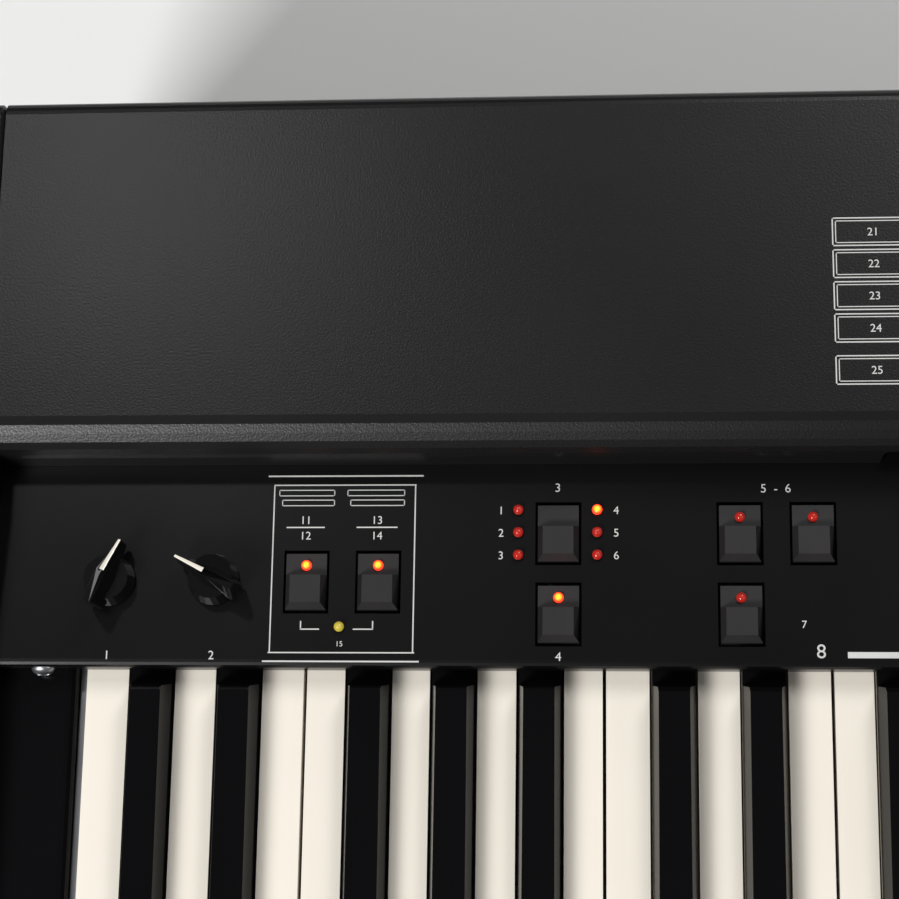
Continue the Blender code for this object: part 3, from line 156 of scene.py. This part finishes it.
def keySetPaint(name, naturalTop):
    skin = Finish(name)
    spot = skin.make("TexCoord", {}, {}, "Object")
    height = skin.make("SeparateXYZ", {}, {"Vector": spot}, "Z")
    black = skin.make("Math", {"operation": "GREATER_THAN"}, {0: height, 1: naturalTop})
    cloud = skin.noise(12, 4.0)
    tint = skin.make("ValToRGB", {"stops": ((0.3, (0.88, 0.82, 0.72)), (0.7, (0.92, 0.86, 0.76)))},
                     {"Fac": cloud})
    skin.set(Base_Color=tint, Roughness=0.18 + cloud * 0.08, Coat_Weight=0.3, Coat_Roughness=0.05)
    sharps = looks["gloss_black"]
    dark = skin.make("BsdfPrincipled", {}, {
        "Base Color": (*sharps["colour"], 1), "Specular IOR Level": sharps["shine"],
        "Roughness": sharps["rough"] + cloud * sharps["roughVary"]})
    both = skin.make("MixShader", {}, {0: black, 1: Wire(skin, skin.shader.outputs[0]), 2: dark})
    skin.put(skin.tree.nodes["Material Output"].inputs["Surface"], both)
    return skin.material


for row in frame["record"]["subparts"]:
    solid = frame["nodes"][row["node"]]
    solid.data.materials.clear()
    solid.data.materials.append(finishes[row["material_slot"]])
for node, top in keySets.items():
    frame["nodes"][node].data.materials[0] = keySetPaint(node + "_finish", top)
for node in ("volume_knob", "drive_knob"):
    frame["nodes"][node].data.materials[0] = finishes["knob_black"]
frame["nodes"]["jack_board"].data.materials[0] = finishes["button_plastic"]
print("finishes on", len(frame["nodes"]), "pieces")


def onPanel(x, back, lift=0.0):
    return np.array((place["keysLeft"] + x * mm, place["lip"] + back * mm, panelTop + lift * mm))


def gridPiece(name, points, material, body, closed=True):
    # A surface through rows of points, where each row is a ring when closed
    rows, columns = points.shape[:2]
    row = np.arange(rows - 1)[:, None]
    column = np.arange(columns if closed else columns - 1)[None, :]
    after = (column + 1) % columns
    faces = np.stack([row * columns + column, row * columns + after,
                      (row + 1) * columns + after, (row + 1) * columns + column], -1)
    mesh = bpy.data.meshes.new(name)
    mesh.from_pydata(points.reshape(-1, 3).tolist(), [], faces.reshape(-1, 4).tolist())
    return finishPiece(name, mesh, material, body)


def finishPiece(name, mesh, material, body):
    mesh.materials.append(material)
    mesh.shade_smooth()
    mesh.set_sharp_from_angle(angle=math.radians(40))
    piece = bpy.data.objects.new(name, mesh)
    bpy.context.scene.collection.objects.link(piece)
    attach(piece, body)
    return piece


# Lamps: a dome is a quarter circle turned about its axis, 1.62 mm in radius
lamp = dict(radius=1.62, sides=24, rings=8, onButton=0.4, onPanel=0.8)
# Unlit lamps are switched off but still get a dim painted glow, red and brighter in the middle like
# the lit ones
lampGlow = {"lit": ((1.0, 0.03, 0.01), (1.0, 0.42, 0.02), 2.6),
            "unlit": ((0.30, 0.012, 0.008), (0.42, 0.03, 0.02), 0.5),
            "yellow": ((0.38, 0.30, 0.03), (0.55, 0.48, 0.12), 0.5)}
lampSkins = {}
for key, (rim, core, strength) in lampGlow.items():
    skin = Finish("lamp_" + key)
    middle = skin.make("Attribute", {"attribute_name": "middle"}, {}, "Fac")
    tint = skin.make("ValToRGB", {"stops": ((0.35, rim), (0.75, core))}, {"Fac": middle})
    skin.set(Base_Color=rim, Roughness=0.1, Emission_Color=tint, Emission_Strength=strength)
    lampSkins[key] = skin.material
lamps = {
    "rotor_run_button": (71.1, 32.2, "lit"), "rotor_speed_button": (93.8, 32.2, "lit"),
    "vibrato_on_button": (150.4, 22.0, "lit"), "preset_left_button": (206.8, 47.5, "unlit"),
    "preset_right_button": (229.4, 47.5, "unlit"), "hold_button": (206.9, 22.0, "unlit"),
}
percussion = dict(left=706.0, pitch=22.6, back=34.8, names=("on", "soft", "fast", "third"))
for index, name in enumerate(percussion["names"]):
    across = percussion["left"] + percussion["pitch"] * index
    lamps[f"percussion_{name}_button"] = (across, percussion["back"], "unlit")
lampRows = (49.9, 42.7, 35.5)
panelLamps = [(x, back) for x in (137.75, 162.45) for back in lampRows]
litPanelLamp = 3


def dome(name, centre, material, body):
    lift = np.linspace(0, math.pi / 2 - 0.02, lamp["rings"])[:, None]
    turn = np.linspace(0, 2 * math.pi, lamp["sides"], endpoint=False)[None, :]
    radius = lamp["radius"] * mm
    points = np.stack(np.broadcast_arrays(radius * np.cos(lift) * np.cos(turn),
                                          radius * np.cos(lift) * np.sin(turn),
                                          radius * np.sin(lift)), -1) + centre
    points = np.concatenate([points, np.repeat([[centre + (0, 0, radius)]], lamp["sides"], 1)
                             .reshape(1, -1, 3) + (points[-1:] - centre) * (0.02, 0.02, 0)])
    piece = gridPiece(name, points, material, body)
    middle = piece.data.attributes.new("middle", "FLOAT", "POINT")
    middle.data.foreach_set("value", np.repeat(np.linspace(0, 1, len(points)), lamp["sides"]))


for body, (x, back, state) in lamps.items():
    dome(body + "_lamp", onPanel(x, back, lamp["onButton"]), lampSkins[state], body)
# Panel lamps that are not lit carry the same dim painted glow
for index, (x, back) in enumerate(panelLamps):
    state = "lit" if index == litPanelLamp else "unlit"
    dome(f"panel_lamp_{index + 1}", onPanel(x, back, lamp["onPanel"]), lampSkins[state], "case")
dome("rotor_lamp", onPanel(81.9, 12.7, lamp["onPanel"]), lampSkins["yellow"], "case")
print("lamps made")


printing = dict(lines=0.05 * mm, numbers=0.06 * mm, fontScale=1.4)


def flatPiece(name, boxes, material, level=panelTop, body="case"):
    # Rectangles (left, front, right, back) in mm, a little above the sheet that carries them
    quads = np.array(boxes, float)
    corners = quads[:, [0, 1, 2, 1, 2, 3, 0, 3]].reshape(-1, 4, 2) * mm
    corners += (place["keysLeft"], place["lip"])
    points = np.concatenate([corners, np.full((*corners.shape[:2], 1), level + printing["lines"])], -1)
    mesh = bpy.data.meshes.new(name)
    mesh.from_pydata(points.reshape(-1, 3).tolist(), [],
                     np.arange(len(quads) * 4).reshape(-1, 4).tolist())
    return finishPiece(name, mesh, material, body)


# Printed marks: a plain cabinet figure of bars, brackets, and a line to the upper set
ink = paint("print_white", dict(colour=(0.62, 0.62, 0.60), vary=0.05, cloud=80, grain=900,
                                rough=0.35, roughVary=0.05, bump=0.02, depth=0.0001))


def outline(left, front, right, back, line):
    # A rectangle of four thin bars
    return [(left, front, right, front + line), (left, back - line, right, back),
            (left, front, left + line, back), (right - line, front, right, back)]


figure = dict(louvres=((61.6, 79.5), (83.4, 101.8)), rules=((64.3, 76.5), (86.6, 99.6)))
marks = [(58, 60.9, 107.6, 61.4), (60.0, 58.0, 105.4, 58.4), (57.9, 1.6, 107.1, 2.1),
         (59.6, 4.4, 105.6, 4.8), (59.9, 4.8, 60.3, 58.0), (104.9, 4.8, 105.3, 58.0),
         (69.5, 12.0, 69.9, 14.6), (69.5, 11.8, 75.6, 12.2), (92.2, 12.0, 92.6, 14.6),
         (86.2, 11.8, 92.6, 12.2), (239, 3.3, 262, 5.2)]
for left, right in figure["louvres"]:
    marks += outline(left, 54.6, right, 56.7, 0.3) + outline(left + 1, 51.4, right, 53.5, 0.3)
marks += [(left, 44.3, right, 44.7) for left, right in figure["rules"]]
flatPiece("panel_print", marks, ink)

# Table on the deck: five framed boxes with numbers in them
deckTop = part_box("deck")[1][2]
table = dict(left=235.6, right=261.0, back=138.0, height=9.4, pitch=10.4, drop=3.0, rows=5,
             middle=248.2, foot=6, firstNumber=21)
tableRows = [table["back"] - table["pitch"] * row - (table["drop"] if row == 4 else 0)
             for row in range(table["rows"])]
lines = []
for back in tableRows:
    front = back - table["height"]
    lines += outline(table["left"], front, table["right"], back, 0.4)
    lines += outline(table["left"] + 1, front + 1, table["right"] - 1, back - 1, 0.3)
flatPiece("deck_table", lines, ink, deckTop)


def number(name, text, x, back, height, level=panelTop):
    curve = bpy.data.curves.new(name, "FONT")
    curve.body, curve.size, curve.align_x = text, height * mm * printing["fontScale"], "CENTER"
    item = bpy.data.objects.new(name, curve)
    bpy.context.scene.collection.objects.link(item)
    bpy.context.view_layer.update()
    mesh = bpy.data.meshes.new_from_object(item)
    bpy.data.objects.remove(item)
    count = len(mesh.vertices)
    points = np.empty(count * 3)
    mesh.vertices.foreach_get("co", points)
    lift = level - panelTop + printing["numbers"]
    points = points.reshape(-1, 3) + onPanel(x, back) + (0, 0, lift)
    mesh.vertices.foreach_set("co", points.ravel())
    mesh.materials.clear()
    finishPiece(name, mesh, ink, "case")


numbers = {"volume": ("1", 8.5, 2.4, 2.8), "drive": ("2", 41.7, 2.4, 2.8),
           "vibrato": ("3", 150.1, 55.8, 2.8), "vibratoOn": ("4", 150.4, 2.2, 2.8),
           "preset": ("5  -  6", 218.1, 55.4, 2.8), "hold": ("7", 226, 12.6, 2.4),
           "upper": ("8", 231, 3.3, 4.4), "runUpper": ("11", 70.4, 45.6, 2.6),
           "runLower": ("12", 70.4, 40.6, 2.6), "speedUpper": ("13", 93.1, 45.6, 2.6),
           "speedLower": ("14", 93.1, 40.6, 2.6), "figure": ("15", 82, 6.6, 1.7)}
for row, back in enumerate(lampRows):
    numbers[f"leftLamp{row}"] = (str(row + 1), 132.3, back - 1.3, 2.6)
    numbers[f"rightLamp{row}"] = (str(row + 4), 168.4, back - 1.3, 2.6)
for key, (text, x, back, height) in numbers.items():
    number("mark_" + key, text, x, back, height)
for row, back in enumerate(tableRows):
    number(f"table_number_{row + 1}", str(row + table["firstNumber"]), table["middle"],
           back - table["foot"], 2.6, deckTop)

# Screw that holds the panel's lip: a low dome turned about Y, with a cross in it
screw = dict(x=-12.5, lift=-3.8, radius=3.7, height=2.3, sides=32, crossReach=2.2, crossDepth=0.7)
span = np.linspace(0, 1, 10)[:, None]
turn = np.linspace(0, 2 * math.pi, screw["sides"], endpoint=False)[None, :]
radius = screw["radius"] * np.sqrt(1 - (span * 0.995) ** 2)
cross = (np.abs(np.sin(2 * turn)) < 0.35) * (radius < screw["crossReach"])
depth = screw["height"] * span - cross * screw["crossDepth"]
screwPoints = np.stack(np.broadcast_arrays(radius * np.cos(turn), -depth, radius * np.sin(turn)), -1)
gridPiece("panel_screw", screwPoints * mm + onPanel(screw["x"], 0, screw["lift"]),
          finishes["zinc_steel"], "case")

# Knob inlays: an ivory strip along the pointer's upper edge, falling towards the tip
knobs = {"volume_knob": (8.5, 27.3, -23.0), "drive_knob": (41.7, 27.6, 61.6)}
inlay = dict(start=1.0, end=12.2, half=0.75, tip=0.4, top=15.05, fall=0.35, crown=0.12, rows=12)
for body, (x, back, turn) in knobs.items():
    along = np.linspace(inlay["start"], inlay["end"], inlay["rows"])[:, None]
    width = np.linspace(inlay["half"], inlay["tip"], inlay["rows"])[:, None]
    side = np.array((-1, -0.5, 0.5, 1))[None, :] * width
    crown = np.array((0, 1, 1, 0))[None, :] * inlay["crown"]
    height = inlay["top"] - inlay["fall"] * along + crown
    angle = math.radians(turn)
    points = np.stack([side * math.cos(angle) - along * math.sin(angle),
                       side * math.sin(angle) + along * math.cos(angle),
                       np.broadcast_to(height, side.shape)], -1) * mm + onPanel(x, back)
    gridPiece(body + "_inlay", points, finishes["ivory"], body, closed=False)
print("marks and inlays made")

# Floor, camera and soft light
studio = Finish("studio_floor").set(Base_Color=(0.85, 0.85, 0.84), Roughness=0.6)
bpy.ops.mesh.primitive_plane_add(size=12)
floor = bpy.context.object
floor.name = "floor"
floor.data.materials.append(studio.material)

camera = dict(lens=89.8, spot=(-0.2497, -0.0526, 0.8261), turn=(13.99, 4.57, 0.86))
lensData = bpy.data.cameras.new("camera")
lensData.lens, lensData.sensor_width, lensData.clip_start = camera["lens"], 36, 0.01
eye = bpy.data.objects.new("camera", lensData)
eye.location = camera["spot"]
eye.rotation_euler = [math.radians(angle) for angle in camera["turn"]]
bpy.context.scene.collection.objects.link(eye)
bpy.context.scene.camera = eye

lights = {"front": ((-1.25, -1.3, 1.6), 0.7, 50.0), "back": ((0.55, 1.35, 1.6), 0.7, 17.0),
          "side": ((1.6, -0.2, 1.2), 0.8, 5.0), "spark": ((-0.75, 0.75, 1.5), 0.1, 2.0)}
lightTarget = (-0.25, 0, 0.1)
for name, (spot, size, power) in lights.items():
    data = bpy.data.lights.new(name, "AREA")
    data.size, data.energy = size, power
    light = bpy.data.objects.new(name, data)
    light.location = spot
    aim = Vector(lightTarget) - Vector(spot)
    light.rotation_euler = aim.to_track_quat("-Z", "Y").to_euler()
    bpy.context.scene.collection.objects.link(light)
world = bpy.data.worlds.new("studio")
bpy.context.scene.world = world
world.use_nodes = True
world.node_tree.nodes["Background"].inputs["Color"].default_value = (1, 1, 1, 1)
world.node_tree.nodes["Background"].inputs["Strength"].default_value = 0.075
bpy.context.scene.view_settings.view_transform = "Standard"

print("scene finished")
